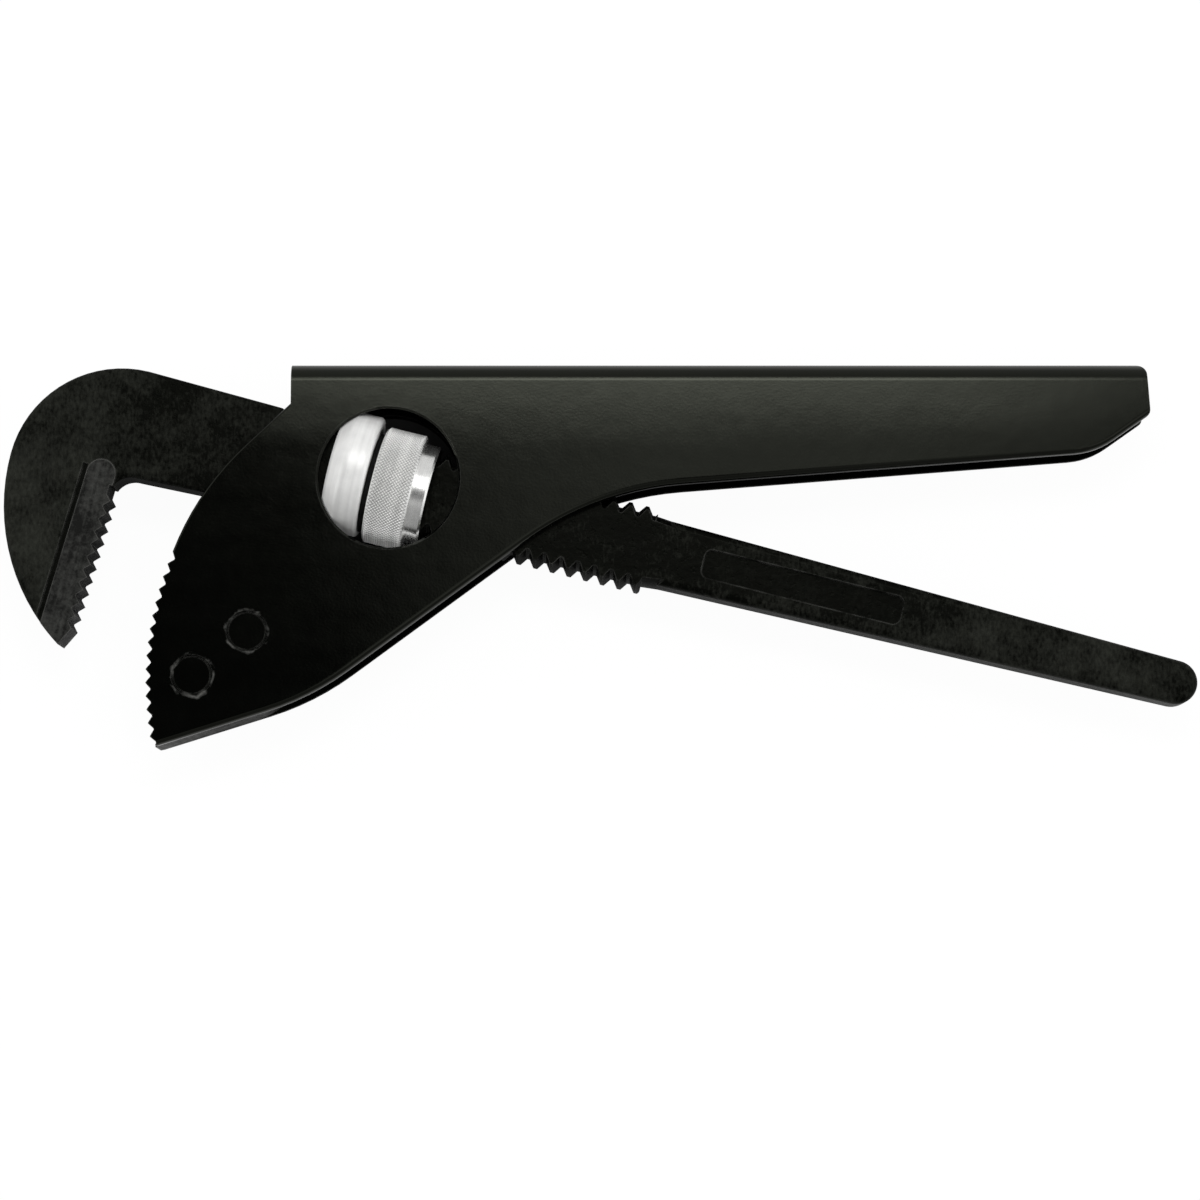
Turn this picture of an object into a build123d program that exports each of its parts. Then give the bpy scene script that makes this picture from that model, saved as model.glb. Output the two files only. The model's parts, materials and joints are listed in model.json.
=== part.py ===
from build123d import *
from math import atan2, ceil, cos, degrees, pi, radians, sin, sqrt, tan
import os

# Adjustable pipe wrench with a pressed body, lying on its side, in millimetres.
# X runs along the grip, Y across the tool towards the folded spine, Z through its width.
# The origin is the centre of the round thumb window, half way between the two cheeks.

os.makedirs("parts", exist_ok=True)

# Pressed body: one sheet folded along its spine into a channel
sheet_thickness = 2.4
channel_gap = 12.6
fold_radius = 4.5
spine_height = 29.3
front_reach = 24.7
front_edge_depth = 10.3
front_flat_end_x = -36.0
front_flat_end_y = 8.4
grip_length = 191.2
grip_end_lean = 0.9
grip_end_depth = 13.0
grip_end_corner_radius = 3.0
grip_foot_radius = 1.8
grip_heel_inset = 12.9
grip_heel_y = 6.6
grip_heel_radius = 20.0
neck_x = 52.0
neck_y = -3.2
neck_radius = 77.0
belly_x = -19.1
belly_y = -55.5
belly_radius = 70.0
cheek_edge_rounding = 1.5
front_edge_rounding = 0.6

# Thumb window, coined on the inside as the seat of the collar
window_radius = 17.7
window_chamfer = 0.5
seat_clearance = 0.05

# Teeth of the heel, cut in the cheeks and in the block between them
tooth_root_flat = 0.35
heel_circle_x = 21.9
heel_circle_y = -50.5
heel_tooth_radius = 82.3
heel_tooth_pitch = 3.4
heel_tooth_depth = 1.25
heel_tooth_count = 15
heel_top_y = -18.6
heel_tip_y = -67.9
heel_block_shelf = 15.0
heel_block_shelf_drop = 3.5
heel_block_back_x = -22.0
heel_block_back_y = -38.0
heel_block_foot_radius = 17.5

# Two countersunk rivets, hammered flush with the cheeks, placed by their distance from the tooth line
upper_rivet_inset = 24.1
upper_rivet_angle = 168.4
lower_rivet_inset = 11.6
lower_rivet_angle = 179.5
rivet_radius = 3.0
rivet_head_radius = 5.2
rivet_rim_chamfer = 0.3

# Shank line: it slopes down from the hook to the handle and lies a little below the pivot
shank_slope = 14.0
shank_drop = 1.3
shank_thickness = 11.2

# Thrust collar: a ball seat in front, a slot with round ends for the shank
collar_ball_radius = 19.2
collar_radius = 15.6
collar_front = 15.0
collar_back = 5.0
collar_corner_radius = 1.0
slot_side_clearance = 0.3

# Thread: turned on the two edges of the shank, tapped in the nut
thread_pitch = 4.35
thread_radius = 11.1
thread_depth = 1.9
thread_flank_angle = 36.0
thread_clearance = 0.25
sector_arc = 94.0
last_crest = 64.9
rack_end = 68.0
turned_neck_end = 78.0
turned_neck_end_radius = 8.3

# Thumb nut, from its thrust boss to its hub
nut_front = 3.4
nut_rear = 6.9
nut_radius = 15.0
nut_chamfer = 0.7
nut_hub_radius = 13.0
nut_hub_end = 10.8
nut_hub_chamfer = 0.5
nut_boss_radius = 12.8
nut_bore_chamfer = 1.2
thrust_clearance = 0.1

# Hook end of the forged jaw
hook_reach = 65.9
hook_half_height = 13.45
hook_back_radius = 28.6
hook_nose_radius = 52.4
hook_tip_angle = 57.5
throat_reach = 61.7
throat_half_height = 13.75
throat_side_reach = 67.1
throat_side_drop = 17.0
throat_sag = 1.0
shoulder_reach = 29.4
shoulder_half_height = 12.55
shoulder_radius = 1.6
hook_edge_rounding = 1.0

# Toothed strip let into the hook: its place is the centre of its round head
strip_reach = 70.9
strip_drop = 14.8
strip_tilt = 2.0
strip_half_width = 3.7
strip_tip_reach = 4.3
strip_head_length = 2.2
strip_first_notch = 4.4
strip_tooth_pitch = 3.36
strip_tooth_depth = 1.4
strip_tooth_count = 11
strip_length = 44.6
strip_bevel_start = 39.7
strip_bevel_height = 4.6
strip_bevel_width = 2.1
tongue_width = 4.0
tongue_depth = 1.6
tongue_top = 4.0
tongue_length = 28.0
relief_width = 1.4
relief_depth = 0.8
relief_rise = 1.5

# Handle end of the forged jaw
handle_start = 72.0
handle_start_half_height = 8.4
handle_end = 209.9
handle_end_radius = 5.55
handle_end_drop = 0.6
handle_edge_rounding = 1.8
panel_start = 82.0
panel_end = 133.5
panel_height = 7.4
panel_depth = 0.8
panel_corner_radius = 2.0

# How far every cut runs past the metal
overrun = 2.0

# Sizes worked out from the ones above
body_width = channel_gap + 2 * sheet_thickness
outer_half = body_width / 2
inner_half = channel_gap / 2
shank_half = shank_thickness / 2
thread_root_radius = thread_radius - thread_depth
full_turn = 360
flank_slope = tan(radians(thread_flank_angle))
thread_lead = thread_pitch / (2 * pi * (thread_radius - thread_depth / 2))
crest_width = thread_pitch / 2 - thread_depth * flank_slope
nut_bore_radius = thread_root_radius + thread_clearance
nut_thread_radius = thread_radius + thread_clearance
flank_clearance = thread_clearance / cos(radians(thread_flank_angle))
boss_front = collar_back - thrust_clearance
slot_radius = thread_radius + shank_drop + thread_clearance
slot_width = shank_thickness + 2 * slot_side_clearance

# Directions and planes of the shank: s runs along it, n across it
along = Vector(cos(radians(shank_slope)), -sin(radians(shank_slope)), 0)
across = Vector(sin(radians(shank_slope)), cos(radians(shank_slope)), 0)
shank_plane = Plane(origin=across * -shank_drop, x_dir=along, z_dir=(0, 0, 1))
strip_x = along * cos(radians(strip_tilt)) - across * sin(radians(strip_tilt))
strip_place = shank_plane.from_local_coords((-strip_reach, -strip_drop, 0))
strip_plane = Plane(origin=strip_place, x_dir=strip_x, z_dir=(0, 0, 1))


def shank_section(place):
    """Plane square to the shank line, at a distance along it."""
    return Plane(origin=shank_plane.origin + along * place, x_dir=across, z_dir=along)


def collar_section(place):
    """Plane square to the collar's axis, which passes through the pivot."""
    return Plane(origin=along * place, x_dir=across, z_dir=along)


def notch(pitch, depth, mode=Mode.ADD):
    """Gap between two teeth: the tooth line is at x = 0 and the metal lies at negative x."""
    half_root = tooth_root_flat / 2
    half_mouth = half_root + (pitch / 2 - half_root) * (depth + overrun) / depth
    corners = ((-depth, half_root), (-depth, -half_root), (overrun, -half_mouth), (overrun, half_mouth))
    Polygon(*corners, align=None, mode=mode)


def on_heel_circle(height):
    """Point of the heel's tooth line at a height."""
    rise = height - heel_circle_y
    return (heel_circle_x - sqrt(heel_tooth_radius**2 - rise**2), height)


def behind_heel_circle(inset, angle):
    """Point at a distance behind the heel's tooth line, at an angle round its centre."""
    reach = heel_tooth_radius - inset
    return (heel_circle_x + reach * cos(radians(angle)), heel_circle_y + reach * sin(radians(angle)))


# Places of the rivets
rivet_places = {
    "heel_rivet_upper": behind_heel_circle(upper_rivet_inset, upper_rivet_angle),
    "heel_rivet_lower": behind_heel_circle(lower_rivet_inset, lower_rivet_angle),
}

# Corners of the body's outline
front_top = (-front_reach, spine_height)
spine_end = (grip_length, spine_height)
grip_foot = (grip_length + grip_end_lean, spine_height - grip_end_depth)
grip_heel = (grip_length - grip_heel_inset, grip_heel_y)
neck = (neck_x, neck_y)
belly = (belly_x, belly_y)
heel_tip = on_heel_circle(heel_tip_y)
heel_middle = on_heel_circle((heel_tip_y + heel_top_y) / 2)
heel_top = on_heel_circle(heel_top_y)
front_flat_end = (front_flat_end_x, front_flat_end_y)
front_foot = (-front_reach, spine_height - front_edge_depth)

# Gaps between the teeth of the heel
heel_step = degrees(heel_tooth_pitch / heel_tooth_radius)
heel_top_angle = 180 - degrees(atan2(heel_top_y - heel_circle_y, heel_circle_x - heel_top[0]))
with BuildSketch(Plane.XY.move(Location((heel_circle_x, heel_circle_y, 0)))) as heel_gaps:
    for count in range(heel_tooth_count):
        gap_angle = heel_top_angle + (count + 1 / 2) * heel_step
        with PolarLocations(heel_tooth_radius, 1, start_angle=gap_angle):
            notch(heel_tooth_pitch, heel_tooth_depth)

# Pressed body
with BuildPart() as pressed_body:
    with BuildSketch(Plane.XY.offset(-outer_half)) as body_outline:
        with BuildLine():
            Polyline(front_top, spine_end, grip_foot, grip_heel, neck, belly, heel_tip)
            ThreePointArc(heel_tip, heel_middle, heel_top)
            front_flat = Line(front_foot, front_flat_end)
            TangentArc(front_flat_end, heel_top, tangent=front_flat % 1)
            Line(front_foot, front_top)
        make_face()
        rounded_corners = {
            grip_heel: grip_heel_radius,
            neck: neck_radius,
            belly: belly_radius,
        }
        for corner, radius in rounded_corners.items():
            fillet(body_outline.vertices().sort_by_distance(corner)[0], radius=radius)
    extrude(amount=body_width)

    # Fold along the spine
    with BuildSketch(Plane.YZ.offset(-grip_length)) as fold_outside:
        with Locations((spine_height, 0)):
            Rectangle(grip_length, body_width, align=(Align.MAX, Align.CENTER))
        fillet(fold_outside.vertices().group_by(Axis.X)[-1], radius=fold_radius)
    extrude(amount=3 * grip_length, mode=Mode.INTERSECT)

    # Rounded edges of each cheek: its front, and its lower edge from the heel to the end of the grip
    for run_point, radius in ((front_flat_end, front_edge_rounding), (neck, cheek_edge_rounding)):
        runs = []
        for face_height in (-outer_half, outer_half):
            face_edges = pressed_body.edges().filter_by_position(Axis.Z, face_height, face_height)
            runs.append(face_edges.sort_by_distance((*run_point, face_height))[0])
        fillet(runs, radius=radius)

    # Rounded corners of the sheared end of the grip
    with BuildSketch(Plane.XY.offset(-outer_half)) as grip_end:
        with BuildLine():
            Line(spine_end, grip_foot)
            foot_direction = Vector(*grip_heel) - Vector(*grip_foot)
            foot_line = PolarLine(grip_foot, 2 * grip_length, direction=foot_direction)
            Polyline(foot_line @ 1, ((foot_line @ 1).X, spine_height), spine_end)
        make_face()
        for corner, radius in ((spine_end, grip_end_corner_radius), (grip_foot, grip_foot_radius)):
            fillet(grip_end.vertices().sort_by_distance(corner)[0], radius=radius)
    extrude(amount=body_width, mode=Mode.INTERSECT)

    # Hollow of the channel, open below and at both ends
    with BuildSketch(Plane.YZ.offset(-grip_length)) as fold_inside:
        with Locations((spine_height - sheet_thickness, 0)):
            Rectangle(grip_length, channel_gap, align=(Align.MAX, Align.CENTER))
        fillet(fold_inside.vertices().group_by(Axis.X)[-1], radius=fold_radius - sheet_thickness)
    extrude(amount=3 * grip_length, mode=Mode.SUBTRACT)

    # Round window with a broken rim, and the spherical seat inside it
    with BuildSketch(Plane.XY.offset(-outer_half)):
        Circle(window_radius)
    extrude(amount=body_width, mode=Mode.SUBTRACT)
    for face_height in (-outer_half, outer_half):
        face_edges = pressed_body.edges().filter_by_position(Axis.Z, face_height, face_height)
        rims = face_edges.filter_by(GeomType.CIRCLE)
        chamfer(rims.sort_by_distance((0, 0, face_height))[0], length=window_chamfer)
    Sphere(collar_ball_radius + seat_clearance, mode=Mode.SUBTRACT)

    # Teeth and countersunk rivet holes
    extrude(heel_gaps.sketch, amount=outer_half + overrun, both=True, mode=Mode.SUBTRACT)
    for facing in (1, -1):
        heads = [(x, y, facing * outer_half) for x, y in rivet_places.values()]
        with Locations(*[Plane(origin=head, z_dir=(0, 0, facing)) for head in heads]):
            CounterSinkHole(rivet_radius, rivet_head_radius, depth=sheet_thickness)
pressed_body.part.label = "pressed_body"
export_step(pressed_body.part, "parts/pressed_body.step")

# Toothed block between the cheeks
block_shelf_end = (heel_top[0] + heel_block_shelf, heel_top_y - heel_block_shelf_drop)
block_back = (heel_block_back_x, heel_block_back_y)
with BuildPart() as heel_jaw:
    with BuildSketch(Plane.XY.offset(-inner_half)) as block_outline:
        with BuildLine():
            Polyline(heel_top, block_shelf_end, block_back, belly, heel_tip)
            ThreePointArc(heel_tip, heel_middle, heel_top)
        make_face()
        fillet(block_outline.vertices().sort_by_distance(belly)[0], radius=heel_block_foot_radius)
    extrude(amount=channel_gap)
    extrude(heel_gaps.sketch, amount=outer_half, both=True, mode=Mode.SUBTRACT)
    with Locations(*[(x, y, inner_half) for x, y in rivet_places.values()]):
        Hole(rivet_radius)
heel_jaw.part.label = "heel_jaw"
export_step(heel_jaw.part, "parts/heel_jaw.step")

# Rivets, each with two countersunk heads
for rivet_name, (rivet_x, rivet_y) in rivet_places.items():
    cone_foot = outer_half - (rivet_head_radius - rivet_radius)
    rim = rivet_head_radius - rivet_rim_chamfer
    rivet_side = Plane(origin=(rivet_x, rivet_y, 0), x_dir=(1, 0, 0), z_dir=(0, -1, 0))
    with BuildPart() as heel_rivet:
        with BuildSketch(rivet_side):
            with BuildLine():
                Polyline(
                    (0, 0),
                    (rivet_radius, 0),
                    (rivet_radius, cone_foot),
                    (rim, outer_half - rivet_rim_chamfer),
                    (rim - rivet_rim_chamfer, outer_half),
                    (0, outer_half),
                    close=True,
                )
            make_face()
        revolve(axis=Axis((rivet_x, rivet_y, 0), (0, 0, 1)))
        mirror(about=Plane.XY)
    heel_rivet.part.label = rivet_name
    export_step(heel_rivet.part, f"parts/{rivet_name}.step")

# Thrust collar
with BuildPart() as thrust_collar:
    with BuildSketch(collar_section(-collar_front)):
        Circle(collar_radius)
    extrude(amount=collar_front - collar_back)
    Sphere(collar_ball_radius, mode=Mode.INTERSECT)
    back_rim = thrust_collar.edges().filter_by(GeomType.CIRCLE).sort_by(Axis((0, 0, 0), along))[-1]
    fillet(back_rim, radius=collar_corner_radius)
    with BuildSketch(collar_section(-collar_front)):
        Circle(slot_radius)
        Rectangle(2 * slot_radius, slot_width, mode=Mode.INTERSECT)
    extrude(amount=collar_front, mode=Mode.SUBTRACT)
thrust_collar.part.label = "thrust_collar"
export_step(thrust_collar.part, "parts/thrust_collar.step")


def tooth_width(radius):
    """Width of a tooth of the shank at a radius, along the shank."""
    return crest_width + 2 * (thread_radius - radius) * flank_slope


def groove_sector(inner_radius, inner_half, outer_radius, outer_half):
    """Cut for a quarter turn of thread groove, centred on the X axis, with a tapered section."""
    with BuildPart() as sector:
        with BuildSketch(Plane.XZ):
            with BuildLine():
                Polyline(
                    (inner_radius, -inner_half),
                    (outer_radius, -outer_half),
                    (outer_radius, outer_half),
                    (inner_radius, inner_half),
                    close=True,
                )
            make_face()
        revolve(axis=Axis.Z, revolution_arc=sector_arc)
    return sector.part.rotate(Axis.Z, -sector_arc / 2)


def sector_planes(angle, shift, lowest, highest):
    """Planes for groove sectors at an angle round the shank, each tilted by the lead of the thread."""
    outward = across.rotate(Axis((0, 0, 0), along), angle)
    sector_axis = along - along.cross(outward) * thread_lead
    first = last_crest + shift + thread_pitch * angle / full_turn
    places = [first - turn * thread_pitch for turn in range(ceil((first - lowest) / thread_pitch))]
    origins = [shank_section(place).origin for place in places if place < highest]
    return [Plane(origin, x_dir=outward, z_dir=sector_axis) for origin in origins]


# Thumb nut
with BuildPart() as thumb_nut:
    with BuildSketch(shank_section(-nut_front)):
        Circle(nut_radius)
    extrude(amount=nut_front + nut_rear)
    grip_rims = thumb_nut.edges().filter_by(GeomType.CIRCLE)
    chamfer(grip_rims, length=nut_chamfer)
    with BuildSketch(shank_section(0)):
        Circle(nut_hub_radius)
    extrude(amount=nut_hub_end)
    hub_rim = thumb_nut.edges().filter_by(GeomType.CIRCLE).sort_by(Axis((0, 0, 0), along))[-1]
    chamfer(hub_rim, length=nut_hub_chamfer)
    with BuildSketch(shank_section(-boss_front)):
        Circle(nut_boss_radius)
    extrude(amount=boss_front)
    with BuildSketch(shank_section(-boss_front)):
        Circle(nut_bore_radius)
    extrude(amount=boss_front + nut_hub_end, mode=Mode.SUBTRACT)
    bore_rims = thumb_nut.edges().filter_by(GeomType.CIRCLE).group_by(SortBy.RADIUS)[0]
    chamfer(bore_rims, length=nut_bore_chamfer)

    # Tapped groove, four sectors to a turn, that takes the crests of the shank
    tapped_groove = groove_sector(
        thread_root_radius,
        tooth_width(thread_root_radius) / 2 + flank_clearance,
        nut_thread_radius,
        tooth_width(nut_thread_radius) / 2 + flank_clearance,
    )
    for angle in range(0, full_turn, full_turn // 4):
        with Locations(*sector_planes(angle, 0, -boss_front - thread_pitch, nut_hub_end + thread_pitch)):
            add(tapped_groove, mode=Mode.SUBTRACT)
thumb_nut.part.label = "thumb_nut"
export_step(thumb_nut.part, "parts/thumb_nut.step")

# Threaded part of the shank: a turned bar with two flats
with BuildPart() as threaded_shank:
    with BuildSketch(shank_section(-shoulder_reach - thread_pitch)):
        Circle(thread_radius)
        Rectangle(2 * thread_radius, shank_thickness, mode=Mode.INTERSECT)
    extrude(amount=shoulder_reach + thread_pitch + rack_end)
    mouth_radius = thread_radius + overrun
    turned_groove = groove_sector(
        thread_root_radius,
        (thread_pitch - tooth_width(thread_root_radius)) / 2,
        mouth_radius,
        (thread_pitch - tooth_width(mouth_radius)) / 2,
    )
    for angle in (0, full_turn // 2):
        with Locations(*sector_planes(angle, thread_pitch / 2, -shoulder_reach, rack_end + thread_pitch)):
            add(turned_groove, mode=Mode.SUBTRACT)

# Turned neck between the thread and the handle, with the same two flats
with BuildPart() as turned_neck:
    with BuildSketch(shank_plane):
        with BuildLine():
            Polyline(
                (rack_end, 0),
                (rack_end, thread_root_radius),
                (turned_neck_end, turned_neck_end_radius),
                (turned_neck_end, 0),
                close=True,
            )
        make_face()
    revolve(axis=Axis(shank_plane.origin, along))
    with BuildSketch(shank_plane):
        with Locations((rack_end, 0)):
            Rectangle(turned_neck_end - rack_end, 2 * thread_radius, align=(Align.MIN, Align.CENTER))
    extrude(amount=shank_half, both=True, mode=Mode.INTERSECT)

# Forged hook
back_centre = (-hook_reach, hook_half_height - hook_back_radius)
nose_centre = (back_centre[0] - hook_back_radius + hook_nose_radius, back_centre[1])
throat_end = (-throat_reach, -throat_half_height)
throat_side = (-throat_side_reach, -throat_side_drop)
with BuildPart() as forged_hook:
    with BuildSketch(shank_plane) as hook_outline:
        with BuildLine():
            back_arc = CenterArc(back_centre, hook_back_radius, start_angle=90, arc_size=90)
            nose_arc = CenterArc(nose_centre, hook_nose_radius, start_angle=180, arc_size=hook_tip_angle)
            Line(nose_arc @ 1, throat_side)
            SagittaArc(throat_side, throat_end, throat_sag)
            Polyline(
                throat_end,
                (-shoulder_reach, -shoulder_half_height),
                (-shoulder_reach, shoulder_half_height),
                back_arc @ 0,
            )
        make_face()
        shoulders = hook_outline.vertices().group_by(Axis.X)[-1]
        fillet(shoulders, radius=shoulder_radius)
    extrude(amount=shank_half, both=True)
    for face_height in (-shank_half, shank_half):
        face_edges = forged_hook.edges().filter_by_position(Axis.Z, face_height, face_height)
        fillet(face_edges, radius=hook_edge_rounding)

# Handle with its shallow panel on both faces
with BuildPart() as forged_handle:
    with BuildSketch(shank_plane) as handle_outline:
        with BuildLine():
            Line((handle_start, -handle_start_half_height), (handle_start, handle_start_half_height))
            CenterArc((handle_end - handle_end_radius, -handle_end_drop), handle_end_radius, 0, 360)
        make_hull()
    extrude(amount=shank_half, both=True)
    for face_height in (-shank_half, shank_half):
        face_edges = forged_handle.edges().filter_by_position(Axis.Z, face_height, face_height)
        fillet(face_edges, radius=handle_edge_rounding)
    for face in (shank_plane.offset(shank_half), shank_plane.offset(-shank_half)):
        inward = -panel_depth if face.origin.Z > 0 else panel_depth
        with BuildSketch(face):
            with Locations(((panel_start + panel_end) / 2, 0)):
                RectangleRounded(panel_end - panel_start, panel_height, panel_corner_radius)
        extrude(amount=inward, mode=Mode.SUBTRACT)

# Outline of the strip's seat in the hook, with a round head
seat_corners = (
    (strip_half_width, 0),
    (strip_half_width, -strip_head_length),
    (strip_tip_reach, -strip_head_length),
    (strip_tip_reach, -strip_length - overrun),
    (-strip_half_width, -strip_length - overrun),
    (-strip_half_width, 0),
)
with BuildSketch(strip_plane) as strip_seat:
    with BuildLine():
        ThreePointArc((-strip_half_width, 0), (0, strip_half_width), (strip_half_width, 0))
        Polyline(*seat_corners)
    make_face()

# Tongue that holds the strip in the hook
tongue_place = (-strip_half_width - tongue_depth, -tongue_top)
with BuildSketch(strip_plane) as strip_tongue:
    with Locations(tongue_place):
        Rectangle(tongue_depth, tongue_length, align=(Align.MIN, Align.MAX))

# Hook jaw: hook, threaded shank and handle are one forging
with BuildPart() as hook_jaw:
    add(forged_hook.part)
    with BuildSketch(strip_plane) as strip_room:
        add(strip_seat.sketch_local)
        with Locations((-strip_half_width, -strip_head_length)):
            Rectangle(hook_nose_radius, 2 * hook_nose_radius, align=(Align.MIN, Align.MAX))
    extrude(strip_room.sketch, amount=shank_half, both=True, mode=Mode.SUBTRACT)
    extrude(strip_tongue.sketch, amount=tongue_width / 2, both=True, mode=Mode.SUBTRACT)
    for face in (strip_plane.offset(shank_half), strip_plane.offset(-shank_half)):
        inward = -relief_depth if face.origin.Z > 0 else relief_depth
        with BuildSketch(face):
            with Locations((-strip_half_width, relief_rise)):
                Rectangle(relief_width, 2 * strip_length, align=(Align.MAX, Align.MAX))
        extrude(amount=inward, mode=Mode.SUBTRACT)
    add(threaded_shank.part)
    add(turned_neck.part)
    add(forged_handle.part)
hook_jaw.part.label = "hook_jaw"
export_step(hook_jaw.part, "parts/hook_jaw.step")

# Toothed strip, its lower end ground to the nose of the hook
with BuildPart() as hook_insert:
    with BuildSketch(strip_plane) as strip_outline:
        add(strip_seat.sketch_local)
        with BuildLine():
            Polyline(
                (strip_tip_reach - strip_tooth_depth, -strip_head_length),
                (strip_tip_reach, -strip_head_length),
                (strip_tip_reach, -strip_first_notch),
                (strip_tip_reach - strip_tooth_depth, -strip_first_notch),
                close=True,
            )
        make_face(mode=Mode.SUBTRACT)
        for tooth in range(strip_tooth_count):
            with Locations((strip_tip_reach, -strip_first_notch - tooth * strip_tooth_pitch)):
                notch(strip_tooth_pitch, strip_tooth_depth, mode=Mode.SUBTRACT)
        bevel_end = -strip_bevel_start - 2 * strip_bevel_height
        Polygon(
            (strip_tip_reach, -strip_bevel_start),
            (strip_tip_reach - 2 * strip_bevel_width, bevel_end),
            (strip_tip_reach, bevel_end),
            align=None,
            mode=Mode.SUBTRACT,
        )
    extrude(amount=shank_half, both=True)
    extrude(strip_tongue.sketch, amount=tongue_width / 2, both=True)
    with BuildSketch(shank_plane):
        with Locations(nose_centre):
            Circle(hook_nose_radius)
    extrude(amount=shank_half, both=True, mode=Mode.INTERSECT)
hook_insert.part.label = "hook_insert"
export_step(hook_insert.part, "parts/hook_insert.step")
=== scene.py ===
"""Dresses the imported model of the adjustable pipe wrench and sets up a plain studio.

Everything is in metres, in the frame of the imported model: X along the grip, Y towards the spine,
Z up through the width of the tool, with the origin at the centre of the round thumb window.
"""

import json
import math

import bmesh
import bpy
from bpy.props import FloatProperty, FloatVectorProperty, IntProperty, PointerProperty
from mathutils import Matrix, Vector


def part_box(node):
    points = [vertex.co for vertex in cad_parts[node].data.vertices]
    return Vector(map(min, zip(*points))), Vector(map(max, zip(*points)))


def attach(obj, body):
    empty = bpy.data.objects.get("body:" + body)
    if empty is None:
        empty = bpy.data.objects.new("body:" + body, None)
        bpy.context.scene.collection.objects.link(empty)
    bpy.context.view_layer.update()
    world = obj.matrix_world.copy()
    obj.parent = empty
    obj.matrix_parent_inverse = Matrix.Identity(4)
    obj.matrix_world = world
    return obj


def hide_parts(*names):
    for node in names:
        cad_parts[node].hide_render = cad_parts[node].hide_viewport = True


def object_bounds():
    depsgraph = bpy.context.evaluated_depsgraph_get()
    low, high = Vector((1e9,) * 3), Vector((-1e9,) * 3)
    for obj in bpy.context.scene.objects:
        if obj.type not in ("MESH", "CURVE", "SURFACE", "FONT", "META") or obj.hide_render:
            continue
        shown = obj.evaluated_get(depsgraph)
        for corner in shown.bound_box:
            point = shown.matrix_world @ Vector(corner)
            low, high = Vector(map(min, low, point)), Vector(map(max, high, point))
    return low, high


bl_info = {
    "name": "Adjustable Pipe Wrench",
    "version": (1, 0, 0),
    "blender": (4, 5, 0),
    "location": "View3D > Sidebar > Wrench",
    "description": "Dresses the packed pipe wrench and sets up its studio",
    "category": "Object",
}

MM = 0.001

# Ring left round each hammered rivet head: its radius, the half width of the line and its wobble
RIVET_RADIUS = 5.3 * MM
RIVET_MARK = 0.55 * MM
RIVET_WOBBLE = 0.5 * MM

# Band of Y in which the paint grows duller towards the fold of the spine
FOLD_BAND = (8 * MM, 26 * MM)

# Stretches of X in which the forging's colour grows lighter, towards its nose and towards its
# handle's end, as painted light
NOSE_PAINTED_LIGHT = (-20 * MM, -90 * MM)
HANDLE_END_PAINTED_LIGHT = (60 * MM, 170 * MM)

# Depth of the handle's panel and of the relief beside the strip, where the forging's colour is
# darkened as painted shade
RECESS_DEPTH = 0.8 * MM

# Radius to which the collar's turned edges look rounded
COLLAR_ROUNDING = 2.0 * MM

# How far inside the nut's shoulder its bore begins, in dark steel with oil on it, darkened as
# painted shade
BORE_MARGIN = 1.4 * MM

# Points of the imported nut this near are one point, and this near to a surface are on it
SAME_POINT = 0.002 * MM
ON_SURFACE = 0.01 * MM

# Edges of the nut that turn more than this stay sharp
SHARP_ANGLE = math.radians(28)

# Soft lamp above the spine: its place, and its size along X and Y
KEY_PLACE = Vector((0.08, 0.275, 0.74))
KEY_SIZE = (0.38, 0.2)

SENSOR_WIDTH = 36.0
CLIP_DISTANCES = (0.01, 20.0)
FLOOR_RADIUS = 6.0

# Colours of the painted shadow on the floor below the window, and of the floor elsewhere
PAINTED_SHADOW_COLOUR = (0.03, 0.03, 0.03, 1)
FLOOR_COLOUR = (0.9, 0.9, 0.9, 1)

# Distances from the centre of the window between which the painted shadow below it fades to white
WINDOW_SHADOW_FADE = (20 * MM, 23 * MM)

# Share of the floor's white that glows by itself, while the rest is lit and takes shadows
FLOOR_GLOW = 0.93

# Dark cap of the sky that the flat cheeks mirror, by the cosine of the angle from its middle
CAP_EDGE = (0.74, 0.95)

# Across the cap: how askew it lies, where it gets light, and where that falls off past the grip
CAP_SKEW = 0.44
CAP_RISE = (-0.07, 0.035)
CAP_FALL = (0.07, 0.24)
CAP_END_SHARE = 0.35

# Parts of the sky, by Y, that are dimmed beyond the spine and on the open side of the grip
SPINE_SKY = (0.25, 0.65)
FRONT_SKY = (-0.32, -0.55)

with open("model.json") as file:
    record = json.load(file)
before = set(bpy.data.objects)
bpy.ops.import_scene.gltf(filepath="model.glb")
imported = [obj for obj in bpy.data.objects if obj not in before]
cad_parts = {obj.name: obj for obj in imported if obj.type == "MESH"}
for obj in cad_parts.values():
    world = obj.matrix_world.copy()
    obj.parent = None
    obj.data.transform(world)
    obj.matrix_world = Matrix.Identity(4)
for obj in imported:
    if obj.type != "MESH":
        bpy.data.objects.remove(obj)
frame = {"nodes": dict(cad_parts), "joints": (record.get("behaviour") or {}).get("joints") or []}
nodes = frame["nodes"]
joints = {joint["name"]: joint for joint in frame["joints"]}
cad_low, cad_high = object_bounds()

# The shank line, read from the nut's joint: along it, across it towards the spine, and up
along = Vector(joints["nut_spin"]["axis"]).normalized()
up = Vector((0, 0, 1))
across = up.cross(along)
nut_frame = Matrix((across, up, along)).transposed().to_4x4()
nut_frame.translation = Vector(joints["nut_spin"]["pos_m"])
shank_slope = math.atan2(-along.y, along.x)


# Settings


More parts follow.
